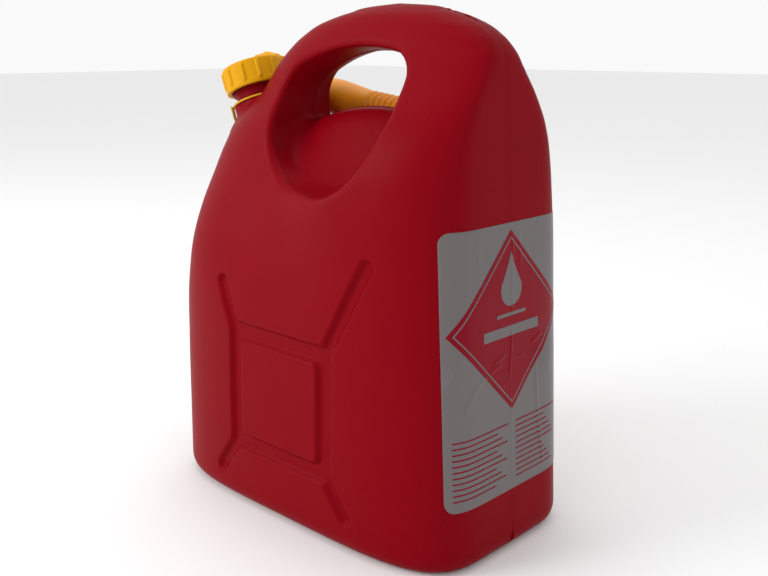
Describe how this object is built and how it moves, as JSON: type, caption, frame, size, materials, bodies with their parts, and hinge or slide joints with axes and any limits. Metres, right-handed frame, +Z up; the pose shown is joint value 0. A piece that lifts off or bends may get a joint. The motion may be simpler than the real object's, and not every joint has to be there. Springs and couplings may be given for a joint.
{
  "type": "fuel jerry can",
  "caption": "Upright moulded plastic fuel can with a through hand hole, a tilted screw cap with tamper ring and a spare flexible pourer in its shoulder.",
  "frame": {"origin": "centre of the flat base, on the ground", "axes": "+Z up; the neck is towards -X, the label end is +X, the stored pourer is on the +Y side"},
  "size_m": [0.3572, 0.1992, 0.4228],
  "materials": {
    "can_red": "satin, finely pebbled",
    "label_print": "satin printed film",
    "cap_ochre": "satin",
    "ring_yellow": "satin",
    "pourer_orange": "satin",
    "seal_black": "matt",
    "tube_clear": "translucent natural"
  },
  "bodies": {
    "can": {"can_body": "can_red", "hazard_label": "label_print"},
    "ring": {"tamper_ring": "ring_yellow", "pull_tab": "ring_yellow"},
    "cap_seat": {"cap_seal": "seal_black"},
    "cap": {"cap": "cap_ochre"},
    "pourer": {"pourer_base": "pourer_orange", "pourer_seal": "seal_black", "air_tube": "tube_clear", "pourer_bellows": "pourer_orange"},
    "collar": {"pourer_collar": "cap_ochre"},
    "nozzle": {"pourer_nozzle": "pourer_orange"},
    "nozzle_cap": {"nozzle_cap": "cap_ochre"}
  },
  "joints": [
    {"name": "ring_turn", "type": "hinge", "parent": "can", "child": "ring", "pos_m": [-0.12802, 0, 0.34134], "axis": [-0.3616, 0, 0.9323], "range_deg": [-60, 25]},
    {"name": "cap_lift", "type": "slide", "parent": "can", "child": "cap_seat", "axis": [-0.3616, 0, 0.9323], "range_m": [0, 0.03]},
    {"name": "cap_turn", "type": "hinge", "parent": "cap_seat", "child": "cap", "pos_m": [-0.132, 0, 0.3516], "axis": [-0.3616, 0, 0.9323], "range_deg": [0, 1800]},
    {"name": "pourer_out", "type": "slide", "parent": "can", "child": "pourer", "axis": [0, 1, 0], "range_m": [0, 0.08]},
    {"name": "collar_spin", "type": "hinge", "parent": "pourer", "child": "collar", "pos_m": [-0.16415, 0.05, 0.35512], "axis": [0.9923, 0, -0.1239], "continuous": true},
    {"name": "bellows_bend", "type": "hinge", "parent": "pourer", "child": "nozzle", "pos_m": [0.00057, 0.05, 0.33455], "axis": [0, -1, 0], "range_deg": [0, 45], "deforming": ["pourer_bellows"]},
    {"name": "nozzle_cap_pull", "type": "slide", "parent": "nozzle", "child": "nozzle_cap", "axis": [0.9923, 0, -0.1239], "range_m": [0, 0.016]}
  ],
  "couplings": [
    {"joint": "cap_lift", "follows": "cap_turn", "m_per_rad": 0.00095493}
  ]
}
